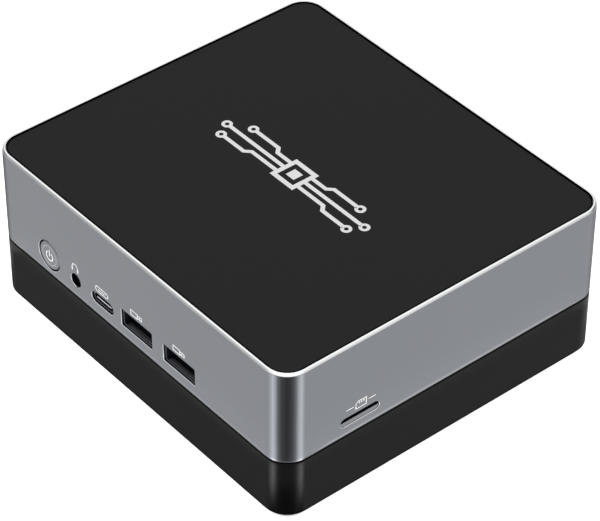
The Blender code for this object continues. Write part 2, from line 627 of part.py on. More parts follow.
def make_ssd():
    """The card lies flat under the board, in its socket at one end and held by its screw at the other."""
    top = UNDER_BOARD - 1.4 * MM
    socket = build("ssd_socket", "port_insulator", brick(
        (-46.5 * MM, -40.0 * MM), across(SSD_ROW, 22.4 * MM), (UNDER_BOARD - 3.2 * MM, UNDER_BOARD),
    ))
    carve(socket, brick((-43.8 * MM, -39.0 * MM), across(SSD_ROW, 20.6 * MM), (top - 1.1 * MM, top + GAP)))
    card = build("ssd_card", "board_green", brick(
        (SSD_END - 79.0 * MM, SSD_END), across(SSD_ROW, 20.0 * MM), (top - 0.8 * MM, top),
    ))
    chip_span = (top - 2.0 * MM, top - 0.6 * MM)
    unite(card, *[brick(across(x * MM, 14.0 * MM), across(SSD_ROW, 16.0 * MM), chip_span)
                  for x in (-26.0, -6.0, 14.0)])
    place = (SSD_END, SSD_ROW)
    carve(card, rod([(1.8 * MM, top - 2 * MM), (1.8 * MM, top + MM)], place, sides=16))
    low = top - 0.8 * MM - GAP
    build("ssd_screw", "steel", rod(
        [(2.3 * MM, low - 1.1 * MM), (2.6 * MM, low - 0.8 * MM), (2.6 * MM, low), (1.3 * MM, low),
         (1.3 * MM, top + GAP), (2.6 * MM, top + GAP), (2.6 * MM, UNDER_BOARD)], place, sides=16,
    ))


def make_clock_cell():
    place = (14.0 * MM, 40.0 * MM)
    holder_bottom = UNDER_BOARD - 3.4 * MM
    pocket_top = UNDER_BOARD - 0.6 * MM
    holder = build("rtc_holder", "port_insulator", rod([(11.5 * MM, holder_bottom), (11.5 * MM, UNDER_BOARD)],
                                                       place, sides=28))
    carve(holder, rod([(10.3 * MM, holder_bottom - MM), (10.3 * MM, pocket_top)], place, sides=28))
    cell_top = pocket_top - GAP
    build("rtc_cell", "steel", rod(
        [(9.6 * MM, cell_top - 3.2 * MM), (10.0 * MM, cell_top - 2.8 * MM), (10.0 * MM, cell_top)],
        place, sides=28,
    ))


def make_wireless():
    """The module, the two antennas on the base's side walls and the leads between them."""
    module_bottom = UNDER_BOARD - 1.9 * MM
    build("wifi_module", "drive_metal", brick((-40.0 * MM, -18.0 * MM), (30.0 * MM, 46.0 * MM),
                                              (module_bottom, UNDER_BOARD)))
    stuck = WIDTH / 2 - 2.0 * MM - GAP
    foil = 0.6 * MM
    lead_radius = 0.6 * MM
    start_z = module_bottom - GAP - lead_radius
    end_x = stuck - foil - GAP - lead_radius
    low = BASE_BOTTOM + 5.0 * MM
    for name, side in SIDES.items():
        build(f"antenna_{name}", "ribbon", brick(
            sorted((side * (stuck - foil), side * stuck)), (-15.0 * MM, 15.0 * MM), (low, low + 8.0 * MM),
        ))
    wall_route = [(52.0 * MM, 29.0 * MM, low + 7.0 * MM), (end_x - 0.8 * MM, 16.0 * MM, low + 5.0 * MM),
                  (end_x, 8.0 * MM, low + 4.0 * MM), (end_x, 4.0 * MM, low + 4.0 * MM)]
    lead("antenna_lead_left", "cable", lead_radius, [
        (-36.0 * MM, 39.0 * MM, start_z), (-42.0 * MM, 38.0 * MM, start_z - 0.6 * MM),
        *[(-x, y, z) for x, y, z in wall_route[:2]],
        (-end_x, 11.0 * MM, low + 4.0 * MM),
    ])
    under_cell = UNDER_BOARD - 6.0 * MM
    lead("antenna_lead_right", "cable", lead_radius, [
        (-22.0 * MM, 41.0 * MM, start_z), (-14.0 * MM, 41.0 * MM, start_z - MM),
        (-4.0 * MM, 40.0 * MM, under_cell), (14.0 * MM, 39.0 * MM, under_cell),
        (36.0 * MM, 36.0 * MM, under_cell - 0.5 * MM), *wall_route,
    ])


# ---- cooling

def cooler_screw_places():
    x, y = COOLER_AT
    far = COOLER_SCREW_OFFSET
    return {"front": (x - far, y - far), "rear": (x + far, y + far)}


def make_heatsink():
    x, y = COOLER_AT
    sink = build("heatsink", "aluminium", brick(
        across(x, COOLER_SIZE), across(y, COOLER_SIZE), (PLATE_BOTTOM, PLATE_TOP),
    ))
    fins, fin = 21, 0.9 * MM
    pitch = (COOLER_SIZE - fin) / (fins - 1)
    left = x - COOLER_SIZE / 2 + fin / 2
    fin_span = (PLATE_TOP - 0.5 * MM, FIN_TOP)
    unite(sink, *[brick(across(left + i * pitch, fin), across(y, COOLER_SIZE), fin_span)
                  for i in range(fins)])
    for name, place in cooler_screw_places().items():
        room = 10.0 * MM
        carve(sink, brick(across(place[0], room), across(place[1], room), (PLATE_TOP, FIN_TOP + MM)))
        carve(sink, rod([(1.5 * MM, PLATE_BOTTOM - MM), (1.5 * MM, PLATE_TOP + 0.5 * MM)], place, sides=12))
        head = PLATE_TOP + GAP
        build(f"cooler_screw_{name}", "steel", rod(
            [(1.1 * MM, BOARD_BOTTOM - 1.2 * MM), (1.1 * MM, head), (2.6 * MM, head),
             (2.6 * MM, head + 1.2 * MM), (2.3 * MM, head + 1.5 * MM)], place, sides=16,
        ))


def make_fan():
    x, y = COOLER_AT
    top = FAN_BOTTOM + FAN_THICK
    spider_top = FAN_BOTTOM + 1.2 * MM
    housing = build("fan_housing", "fan_plastic", slab(
        (FAN_SIZE, FAN_SIZE), COOLER_AT, (FAN_BOTTOM, top), radius=4.0 * MM, steps=4,
    ))
    carve(housing, rod([(FAN_BORE, FAN_BOTTOM - MM), (FAN_BORE, top + MM)], COOLER_AT, sides=48))
    reach = 2 * FAN_BORE + MM
    unite(housing, brick(across(x, reach), across(y, 3.0 * MM), (FAN_BOTTOM, spider_top)))
    unite(housing, brick(across(x, 3.2 * MM), across(y, reach), (FAN_BOTTOM, spider_top - 0.1 * MM)))
    disc, tube = FAN_HUB - MM, 2.6 * MM
    unite(housing, rod([(disc, FAN_BOTTOM), (disc, spider_top + 0.2 * MM)], COOLER_AT, sides=32))
    unite(housing, rod([(tube, FAN_BOTTOM + 0.5 * MM), (tube, FAN_BOTTOM + 6.4 * MM)], COOLER_AT, sides=16))
    carve(housing, rod([(1.5 * MM, FAN_BOTTOM + 1.6 * MM), (1.5 * MM, top)], COOLER_AT, sides=16))

    hub_bottom, hub_top = FAN_BOTTOM + 2.4 * MM, top - 0.6 * MM
    rotor = build("fan_rotor", "fan_plastic", rod(
        [(FAN_HUB, hub_bottom), (FAN_HUB, hub_top - 0.6 * MM), (FAN_HUB - 0.6 * MM, hub_top)],
        COOLER_AT, sides=32,
    ), pivot=(x, y, hub_bottom))
    cup, shaft = 10.8 * MM, 1.2 * MM
    carve(rotor, rod([(cup, hub_bottom - MM), (cup, hub_top - 1.2 * MM)], COOLER_AT, sides=32))
    unite(rotor, rod([(shaft, FAN_BOTTOM + 2.0 * MM), (shaft, hub_top - 0.8 * MM)], COOLER_AT, sides=12))
    unite(rotor, *[fan_blade(2 * math.pi * i / BLADES, hub_bottom, hub_top) for i in range(BLADES)])

    side = x + FAN_SIZE / 2 + GAP
    lead("fan_lead", "cable", 0.8 * MM, [
        (side, y, FAN_BOTTOM + 4.5 * MM), (side + 2.6 * MM, y, FAN_BOTTOM + 3.8 * MM),
        (side + 5.0 * MM, y, FAN_BOTTOM - MM), (side + 5.6 * MM, y, PLATE_TOP),
        (side + 5.6 * MM, y, ON_BOARD),
    ])


def fan_blade(turn, bottom, top):
    """Stack of a twisted, swept blade, section by section from inside the hub out to its tip."""
    sections = 4
    inner, outer = FAN_HUB - 0.6 * MM, FAN_BORE - 0.8 * MM
    stack = []
    for section in range(sections + 1):
        part = section / sections
        radius = inner + (outer - inner) * part
        angle = turn + math.radians(16) * part**1.5
        out = Vector((math.cos(angle), math.sin(angle), 0))
        along = Vector((-math.sin(angle), math.cos(angle), 0))
        center = Vector((*COOLER_AT, (bottom + top) / 2)) + radius * out
        pitch = math.radians(52 - 20 * part)
        reach = (top - bottom) / 2 - 0.8 * MM
        chord = (along / math.tan(pitch) + Vector((0, 0, 1))) * reach
        thick = (along * math.sin(pitch) - Vector((0, 0, math.cos(pitch)))) * 0.45 * MM
        stack.append([center + chord + thick, center + chord - thick, center - chord - thick,
                      center - chord + thick])
    return stack


# ---- storage

def make_drive():
    length, width, height = DRIVE_SIZE
    drive = build("drive", "drive_metal", slab(
        (length, width), (0, 0), (DRIVE_BOTTOM, DRIVE_BOTTOM + height), radius=2.0 * MM, steps=3,
        chamfers=(0.4 * MM, 0.4 * MM),
    ))
    end = -length / 2
    recess = (DRIVE_BOTTOM - MM, DRIVE_BOTTOM + 3.6 * MM)
    carve(drive, brick((end - MM, end + 4.0 * MM), (-16.5 * MM, 16.5 * MM), recess))

    floor_low = FLOOR_TOP + GAP
    floor_high = floor_low + 0.8 * MM
    bracket = build("drive_bracket", "drive_metal", brick(
        (-46.0 * MM, 46.0 * MM), across(0, width + 2.0 * MM), (floor_low, floor_high),
    ))
    flange_span = (floor_low + 0.1 * MM, DRIVE_BOTTOM + 6.0 * MM)
    for side in SIDES.values():
        flange = sorted((side * (width / 2 + GAP), side * (width / 2 + 1.2 * MM)))
        unite(bracket, brick((-46.0 * MM, 46.0 * MM), flange, flange_span))

    plug_low = DRIVE_BOTTOM + 0.4 * MM
    ribbon = build("drive_ribbon", "ribbon", brick(
        (end - 1.0 * MM, end + 3.7 * MM), (-16.0 * MM, 16.0 * MM), (plug_low, plug_low + 2.8 * MM),
    ))
    bend_x, strip = -55.6 * MM, 0.5 * MM
    middle = plug_low + 1.4 * MM
    unite(ribbon, brick((bend_x, end), (-6.0 * MM, 6.0 * MM), (middle, middle + strip)))
    riser = (middle - 0.1 * MM, UNDER_BOARD - MM)
    unite(ribbon, brick((bend_x - strip, bend_x), (-6.1 * MM, 6.1 * MM), riser))
    unite(ribbon, brick((bend_x - 1.4 * MM, bend_x + 1.4 * MM), (-7.0 * MM, 7.0 * MM),
                        (UNDER_BOARD - 2.0 * MM, UNDER_BOARD)))


# ---- the whole computer

def main():
    for thing in list(bpy.data.objects):
        bpy.data.objects.remove(thing)
    make_middle_shell()
    make_top_lid()
    make_base_cover()
    make_feet_and_base_screws()
    make_power_control()
    make_audio_jack()
    make_usb_c()
    for name, x in USB_A_FRONT.items():
        make_usb_a(f"usb_a_front_{name}", x, FRONT)
    make_card_socket()
    make_dc_inlet()
    for name, x in HDMI.items():
        make_hdmi(f"hdmi_{name}", x)
    make_lan_jack()
    for name, x in USB_A_REAR.items():
        make_usb_a(f"usb_a_rear_{name}", x, REAR)
    make_mainboard()
    make_board_screws()
    make_processor()
    make_memory()
    make_ssd()
    make_clock_cell()
    make_wireless()
    make_heatsink()
    make_fan()
    make_drive()


main()
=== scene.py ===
"""Looks of the compact square desktop computer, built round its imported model.

Metres, +Z up, the front faces -Y and +X is to the right seen from the front.
"""

import json
import math

import bmesh
import bpy
from mathutils import Matrix, Vector


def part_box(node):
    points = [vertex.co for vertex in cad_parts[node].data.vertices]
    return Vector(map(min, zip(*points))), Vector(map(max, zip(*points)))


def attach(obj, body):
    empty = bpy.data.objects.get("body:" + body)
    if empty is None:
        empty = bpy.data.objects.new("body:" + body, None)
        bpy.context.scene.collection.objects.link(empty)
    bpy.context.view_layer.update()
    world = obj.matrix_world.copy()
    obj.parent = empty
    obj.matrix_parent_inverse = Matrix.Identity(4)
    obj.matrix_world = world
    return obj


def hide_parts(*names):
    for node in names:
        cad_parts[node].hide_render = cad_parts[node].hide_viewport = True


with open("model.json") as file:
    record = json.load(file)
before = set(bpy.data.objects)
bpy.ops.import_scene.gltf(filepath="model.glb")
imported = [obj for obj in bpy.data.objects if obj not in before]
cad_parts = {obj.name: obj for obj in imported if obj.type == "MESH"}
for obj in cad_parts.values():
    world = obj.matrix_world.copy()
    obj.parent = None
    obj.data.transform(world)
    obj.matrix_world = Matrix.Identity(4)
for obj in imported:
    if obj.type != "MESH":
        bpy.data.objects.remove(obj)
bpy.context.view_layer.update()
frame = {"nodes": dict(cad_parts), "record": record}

MM = 0.001

shell_low, shell_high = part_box("middle_shell")
lid_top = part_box("top_lid")[1].z
HALF_X, HALF_Y = shell_high.x, shell_high.y
CORNER = 7.5 * MM

# ---- camera

AZIMUTH, ELEVATION, ROLL = math.radians(50.17), math.radians(40.10), math.radians(0.24)
DISTANCE = 0.8213
LENS = 175.21
AIM = Vector((1.75 * MM, 0.0, 21.58 * MM))


def make_camera():
    back = Vector((
        math.sin(AZIMUTH) * math.cos(ELEVATION),
        -math.cos(AZIMUTH) * math.cos(ELEVATION),
        math.sin(ELEVATION),
    ))
    level = Vector((0, 0, 1)).cross(back).normalized()
    upright = back.cross(level)
    right = math.cos(ROLL) * level + math.sin(ROLL) * upright
    up = math.cos(ROLL) * upright - math.sin(ROLL) * level
    data = bpy.data.cameras.new("camera")
    data.lens = LENS
    data.sensor_width = 36.0
    data.clip_start, data.clip_end = 0.05, 20.0
    camera = bpy.data.objects.new("camera", data)
    bpy.context.scene.collection.objects.link(camera)
    turn = Matrix((right, up, back)).transposed().to_4x4()
    camera.matrix_world = Matrix.Translation(AIM + DISTANCE * back) @ turn
    bpy.context.scene.camera = camera


# ---- studio

class Nodes:
    """Short names for building a node tree."""

    def __init__(self, tree):
        self.tree = tree

    def add(self, kind, **settings):
        node = self.tree.nodes.new(kind)
        for name, value in settings.items():
            setattr(node, name, value)
        return node

    def math(self, operation, *values):
        node = self.add("ShaderNodeMath", operation=operation)
        for socket, value in zip(node.inputs, values):
            self.feed(socket, value)
        return node.outputs[0]

    def span(self, value, low, high, start=0.0, end=1.0):
        """start to end as the value goes from low to high, eased and clamped."""
        node = self.add("ShaderNodeMapRange", interpolation_type="SMOOTHSTEP")
        for name, number in (("Value", value), ("From Min", low), ("From Max", high), ("To Min", start),
                             ("To Max", end)):
            self.feed(node.inputs[name], number)
        return node.outputs[0]

    def feed(self, socket, value):
        if isinstance(value, bpy.types.NodeSocket):
            self.tree.links.new(value, socket)
        else:
            socket.default_value = value


# Brightness of the dome by height above the horizon (degrees), and of all that lies below it
SKY = (
    (0, 0.60), (7, 0.30), (14, 0.18), (22, 0.30), (28, 0.52), (34, 0.74), (37, 0.84), (39.5, 1.07),
    (90, 1.07),
)
BELOW = 0.84


def make_world():
    """A white dome, brightest overhead."""
    world = bpy.data.worlds.new("studio")
    world.use_nodes = True
    world.cycles.sampling_method = "NONE"
    nodes = Nodes(world.node_tree)
    world.node_tree.nodes.clear()
    split = nodes.add("ShaderNodeSeparateXYZ")
    nodes.feed(split.inputs[0], nodes.add("ShaderNodeTexCoord").outputs["Generated"])
    height = split.outputs[2]
    ramp = nodes.add("ShaderNodeValToRGB")
    while len(ramp.color_ramp.elements) < len(SKY):
        ramp.color_ramp.elements.new(0.5)
    for element, (angle, light) in zip(ramp.color_ramp.elements, SKY):
        element.position = angle / 90
        element.color = (light, light, light * 1.005, 1)
    nodes.feed(ramp.inputs[0], nodes.math("DIVIDE", nodes.math("ARCSINE", height), math.pi / 2))
    mix = nodes.add("ShaderNodeMix", data_type="RGBA")
    nodes.feed(mix.inputs["Factor"], nodes.span(height, -0.07, 0.0))
    nodes.feed(mix.inputs["A"], (BELOW, BELOW, BELOW * 1.01, 1.0))
    nodes.feed(mix.inputs["B"], ramp.outputs[0])
    seen = nodes.add("ShaderNodeMix", data_type="RGBA")
    nodes.feed(seen.inputs["Factor"], nodes.add("ShaderNodeLightPath").outputs["Is Camera Ray"])
    nodes.feed(seen.inputs["A"], mix.outputs["Result"])
    nodes.feed(seen.inputs["B"], (1.0, 1.0, 1.0, 1.0))
    background = nodes.add("ShaderNodeBackground")
    nodes.feed(background.inputs["Color"], seen.outputs["Result"])
    output = nodes.add("ShaderNodeOutputWorld")
    nodes.feed(output.inputs["Surface"], background.outputs[0])
    bpy.context.scene.world = world


def make_floor():
    """A plain white table that glows outside the computer's outline."""
    mesh = bpy.data.meshes.new("floor")
    reach = 6.0
    corners = [(-reach, -reach, 0), (reach, -reach, 0), (reach, reach, 0), (-reach, reach, 0)]
    mesh.from_pydata(corners, [], [(0, 1, 2, 3)])
    floor = bpy.data.objects.new("floor", mesh)
    bpy.context.scene.collection.objects.link(floor)
    material = bpy.data.materials.new("floor")
    material.use_nodes = True
    nodes = Nodes(material.node_tree)
    shader = material.node_tree.nodes["Principled BSDF"]
    shader.inputs["Roughness"].default_value = 0.9
    shader.inputs["Specular IOR Level"].default_value = 0.0
    split = nodes.add("ShaderNodeSeparateXYZ")
    nodes.feed(split.inputs[0], nodes.add("ShaderNodeTexCoord").outputs["Object"])
    x, y, _ = split.outputs
    beyond_x = nodes.math("MAXIMUM", nodes.math("SUBTRACT", nodes.math("ABSOLUTE", x), HALF_X - CORNER), 0.0)
    beyond_y = nodes.math("MAXIMUM", nodes.math("SUBTRACT", nodes.math("ABSOLUTE", y), HALF_Y - CORNER), 0.0)
    squares = nodes.math("ADD", nodes.math("POWER", beyond_x, 2.0), nodes.math("POWER", beyond_y, 2.0))
    away = nodes.math("SQRT", squares)
    shader.inputs["Base Color"].default_value = (0.94, 0.94, 0.94, 1.0)
    shader.inputs["Emission Color"].default_value = (1.0, 1.0, 1.0, 1.0)
    outside = nodes.span(away, CORNER - 2.6 * MM, CORNER - 1.2 * MM)
    nodes.feed(shader.inputs["Emission Strength"], outside)
    under = nodes.add("ShaderNodeMixShader")
    nodes.feed(under.inputs[0], nodes.add("ShaderNodeNewGeometry").outputs["Backfacing"])
    nodes.feed(under.inputs[1], shader.outputs[0])
    nodes.feed(under.inputs[2], nodes.add("ShaderNodeBsdfTransparent").outputs[0])
    nodes.feed(material.node_tree.nodes["Material Output"].inputs["Surface"], under.outputs[0])
    mesh.materials.append(material)
    floor.visible_glossy = False


def make_card(name, height, columns, light_of):
    """A glowing card under the table that only reflections see. A column is the places of its points."""
    mesh = bpy.data.meshes.new(name)
    rows = len(columns[0])
    points = [(x, y, height) for column in columns for x, y in column]
    faces = [
        (c * rows + r, (c + 1) * rows + r, (c + 1) * rows + r + 1, c * rows + r + 1)
        for c in range(len(columns) - 1) for r in range(rows - 1)
    ]
    mesh.from_pydata(points, [], faces)
    glow = mesh.color_attributes.new("glow", "FLOAT_COLOR", "POINT")
    for index in range(len(points)):
        light = light_of(*divmod(index, rows))
        glow.data[index].color = (light, light, light * 1.01, 1.0)
    card = bpy.data.objects.new(name, mesh)
    bpy.context.scene.collection.objects.link(card)
    material = bpy.data.materials.new(name)
    material.use_nodes = True
    nodes = Nodes(material.node_tree)
    material.node_tree.nodes.remove(material.node_tree.nodes["Principled BSDF"])
    emission = nodes.add("ShaderNodeEmission")
    painted = nodes.add("ShaderNodeVertexColor", layer_name="glow")
    nodes.feed(emission.inputs["Color"], painted.outputs["Color"])
    nodes.feed(material.node_tree.nodes["Material Output"].inputs["Surface"], emission.outputs[0])
    mesh.materials.append(material)
    for ray in ("camera", "diffuse", "transmission", "shadow"):
        setattr(card, f"visible_{ray}", False)


# The card that the upright faces mirror. Rows run outwards from the foot of the computer: distance (mm) and
# the light of the card where it is plain, before the front, in its bright strips and in its dark middle.
CARD_ROWS = (
    (0, 0.40, 0.22, 0.0, 0.0), (5, 0.53, 0.31, 0.2, 0.0), (8.5, 0.54, 0.32, 0.9, 0.0),
    (12.5, 0.54, 0.33, 2.7, 0.08), (16.5, 0.54, 0.31, 4.2, 0.40), (22.0, 0.54, 0.30, 4.6, 0.42),
    (22.8, 1.12, 1.05, 1.70, 0.09), (24.2, 0.90, 0.85, 1.70, 0.09), (34, 0.845, 0.797, 1.66, 0.09),
    (95, 0.845, 0.797, 1.66, 0.09),
)
# Columns run round it by the direction that the outline faces (degrees): shares of front, strip and middle
LEFT_COLUMNS = (
    (-45, 0.14, 0.0, 0.86), (-30, 0.18, 0.0, 0.82), (-20, 0.32, 0.0, 0.68), (-15, 0.52, 0.0, 0.48),
    (-11, 0.72, 0.0, 0.28), (-7, 0.92, 0.0, 0.08), (-3, 1.0, 0.0, 0.0),
)
NEAR_COLUMNS = (
    (0, 1.0, 0.0, 0.0), (8, 0.96, 0.04, 0.0), (14, 0.58, 0.42, 0.0), (20, 0.0, 1.0, 0.0),
    (25.5, 0.38, 0.5, 0.12), (31, 0.32, 0.06, 0.62), (38, 0.0, 0.0, 0.9), (49, 0.0, 0.0, 1.0),
    (60, 0.0, 0.0, 0.88), (67, 0.0, 0.06, 0.6), (73, 0.0, 0.5, 0.12), (79, 0.0, 1.0, 0.0),
    (84.5, 0.0, 0.36, 0.0), (88.5, 0.0, 0.02, 0.0), (90, 0.0, 0.0, 0.0),
)
RIGHT_COLUMNS = (
    (90, 0.0, 0.0, 0.0), (100, 0.0, 0.0, 0.02), (105, 0.0, 0.0, 0.12), (111, 0.0, 0.0, 0.34),
    (119, 0.0, 0.0, 0.56), (128, 0.0, 0.0, 0.64), (145, 0.0, 0.0, 0.64),
)


def make_reflectors():
    columns, shares = [], []

    def add(center, table):
        for facing, *share in table:
            angle = math.radians(facing)
            mirrored = 2 * angle - AZIMUTH
            start = Vector(center) + CORNER * Vector((math.sin(angle), -math.cos(angle)))
            outwards = Vector((math.sin(mirrored), -math.cos(mirrored)))
            columns.append([start + row[0] * MM * outwards for row in CARD_ROWS])
            shares.append(share)

    across, along = HALF_X - CORNER, HALF_Y - CORNER
    add((-across, -along), LEFT_COLUMNS + NEAR_COLUMNS[:1])
    add((across, -along), NEAR_COLUMNS)
    add((across, along), RIGHT_COLUMNS)

    def light_of(column, row):
        front, strip, middle = shares[column]
        _, plain, before, bright, dark = CARD_ROWS[row]
        return plain * (1 - front - strip - middle) + before * front + bright * strip + dark * middle

    make_card("card_front", -1.0 * MM, columns, light_of)

    signs = ((-1, -1), (1, -1), (1, 1), (-1, 1), (-1, -1))
    ring = [[(a * (HALF_X + row[0] * MM), b * (HALF_Y + row[0] * MM)) for row in CARD_ROWS] for a, b in signs]
    make_card("card_ring", -2.0 * MM, ring, lambda column, row: CARD_ROWS[row][1])


# ---- materials

def finish_of(name, colour, roughness, metallic=0.0, specular=0.5, grain=0.0, grain_size=0.15 * MM,
              mottle=0.04, rough_mottle=0.06):
    """A moulded or metal surface: fine grain in its relief, and slow changes of colour and gloss."""
    material = bpy.data.materials.new(name)
    material.use_nodes = True
    nodes = Nodes(material.node_tree)
    shader = material.node_tree.nodes["Principled BSDF"]
    shader.inputs["Metallic"].default_value = metallic
    shader.inputs["Specular IOR Level"].default_value = specular
    place = nodes.add("ShaderNodeTexCoord").outputs["Object"]

    slow = nodes.add("ShaderNodeTexNoise")
    nodes.feed(slow.inputs["Vector"], place)
    slow.inputs["Scale"].default_value = 1 / (14 * MM)
    slow.inputs["Detail"].default_value = 4.0
    mix = nodes.add("ShaderNodeMix", data_type="RGBA")
    nodes.feed(mix.inputs["Factor"], slow.outputs["Fac"])
    nodes.feed(mix.inputs["A"], (*[c * (1 - mottle) for c in colour], 1.0))
    nodes.feed(mix.inputs["B"], (*[c * (1 + mottle) for c in colour], 1.0))
    nodes.feed(shader.inputs["Base Color"], mix.outputs["Result"])

    fine = nodes.add("ShaderNodeTexNoise")
    nodes.feed(fine.inputs["Vector"], place)
    fine.inputs["Scale"].default_value = 1 / grain_size
    fine.inputs["Detail"].default_value = 2.0
    gloss = nodes.add("ShaderNodeMapRange")
    nodes.feed(gloss.inputs["Value"], nodes.math("MULTIPLY_ADD", fine.outputs["Fac"], 0.5,
                                                 nodes.math("MULTIPLY", slow.outputs["Fac"], 0.5)))
    gloss.inputs["To Min"].default_value = max(0.02, roughness - rough_mottle)
    gloss.inputs["To Max"].default_value = roughness + rough_mottle
    nodes.feed(shader.inputs["Roughness"], gloss.outputs[0])
    if grain:
        bump = nodes.add("ShaderNodeBump")
        bump.inputs["Strength"].default_value = 1.0
        bump.inputs["Distance"].default_value = grain
        nodes.feed(bump.inputs["Height"], fine.outputs["Fac"])
        nodes.feed(shader.inputs["Normal"], bump.outputs[0])
    return material


FINISHES = {
    "shell_silver": dict(colour=(0.279, 0.291, 0.311), roughness=0.10, metallic=1.0, grain=0.001 * MM,
                         mottle=0.012, rough_mottle=0.02),
    "rim_bright": dict(colour=(0.95, 0.955, 0.96), roughness=0.15, metallic=1.0,
                       mottle=0.01, rough_mottle=0.03),
    # bare metal at cut edges, brightened as a painted highlight; also the painted highlights on the button
    # and the small socket's tongue
    "bare_metal_and_highlight": dict(colour=(0.85, 0.855, 0.865), roughness=0.2, metallic=1.0,
                        mottle=0.02, rough_mottle=0.04),
    "cover_black": dict(colour=(0.0133, 0.0133, 0.0135), roughness=0.45, specular=0.12, grain=0.004 * MM,
                        mottle=0.05),
    "base_black": dict(colour=(0.003, 0.003, 0.0031), roughness=0.15, specular=0.15, grain=0.0015 * MM,
                       mottle=0.05, rough_mottle=0.03),
    # painted shade: near-black, matt and without gloss, for the lowest strip of the base
    "painted_shade_black": dict(colour=(0.003, 0.003, 0.003), roughness=0.8, specular=0.0, mottle=0.1),
    # painted shade: the dark of the gap round the lid, painted on its sides and the strip round its top
    "painted_gap_shade": dict(colour=(0.004, 0.004, 0.004), roughness=0.6, specular=0.05, mottle=0.1),
    "foot_rubber": dict(colour=(0.018, 0.018, 0.018), roughness=0.8, specular=0.3, grain=0.02 * MM),
    # dark steel, darkened further as painted shade of the socket hollows
    "socket_steel": dict(colour=(0.022, 0.022, 0.034), roughness=0.4, metallic=0.5, mottle=0.1),
    # painted highlight: a lighter copy of the socket steel on the faces at the socket mouths
    "socket_mouth_highlight": dict(colour=(0.16, 0.16, 0.185), roughness=0.4, metallic=0.5, mottle=0.05),
    "socket_insulator": dict(colour=(0.012, 0.012, 0.02), roughness=0.35, grain=0.005 * MM),
    # painted highlight: a brighter silver strip along the bottom of the band's flat sides
    "seam_painted_highlight": dict(colour=(0.445, 0.455, 0.475), roughness=0.12, metallic=1.0,
                        mottle=0.012, rough_mottle=0.03),
    "screw_steel": dict(colour=(0.5, 0.5, 0.51), roughness=0.3, metallic=1.0, mottle=0.08),
    "circuit_board": dict(colour=(0.008, 0.07, 0.04), roughness=0.35, mottle=0.2),
    "component_black": dict(colour=(0.02, 0.02, 0.022), roughness=0.45, grain=0.01 * MM),
    "heatsink_aluminium": dict(colour=(0.62, 0.63, 0.64), roughness=0.3, metallic=1.0, mottle=0.05),
    "drive_metal": dict(colour=(0.42, 0.43, 0.44), roughness=0.4, metallic=1.0, grain=0.01 * MM),
    "antenna_foil": dict(colour=(0.42, 0.25, 0.05), roughness=0.4, mottle=0.1),
    "lead_black": dict(colour=(0.02, 0.02, 0.02), roughness=0.5, grain=0.01 * MM),
    "contact_gold": dict(colour=(0.78, 0.56, 0.22), roughness=0.25, metallic=1.0, mottle=0.05),
    "lamp_green": dict(colour=(0.05, 0.30, 0.06), roughness=0.3, mottle=0.1),
    "lamp_amber": dict(colour=(0.45, 0.22, 0.02), roughness=0.3, mottle=0.1),
    "print_white": dict(colour=(0.88, 0.88, 0.88), roughness=0.5, specular=0.3, grain=0.001 * MM,
                        mottle=0.015),
}
finishes = {name: finish_of(name, **spec) for name, spec in FINISHES.items()}


# ---- refined copies of the CAD pieces

SLOT_OF = {entry["node"]: entry["material_slot"] for entry in frame["record"]["subparts"]}
BODY_OF = {node: body for body, nodes in frame["record"]["behaviour"]["bodies"].items() for node in nodes}


def add_object(name, mesh, body):
    piece = bpy.data.objects.new(name, mesh)
    bpy.context.scene.collection.objects.link(piece)
    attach(piece, body)
    return piece


def soften(piece, name, width, segments=2, **settings):
    bevel = piece.modifiers.new(name, "BEVEL")
    bevel.width = width
    bevel.segments = segments
    bevel.use_clamp_overlap = False
    bevel.miter_outer = "MITER_ARC"
    for key, value in settings.items():
        setattr(bevel, key, value)


# Width of the strip divided off round the openings in a face that has many
RING = 0.2 * MM


def ring_openings(model, chosen):
    """Strips round all openings in the chosen flat faces, so that softened edges don't reach further in."""
    planes = {}
    for face in model.faces:
        if chosen(face):
            facing = tuple(round(value, 2) for value in face.normal)
            level = round(face.calc_center_median().dot(face.normal) / MM, 1)
            planes.setdefault((facing, level), []).append(face)
    for faces in planes.values():
        bmesh.ops.inset_region(model, faces=faces, thickness=RING, use_even_offset=True)
        bmesh.ops.triangulate(model, faces=faces)


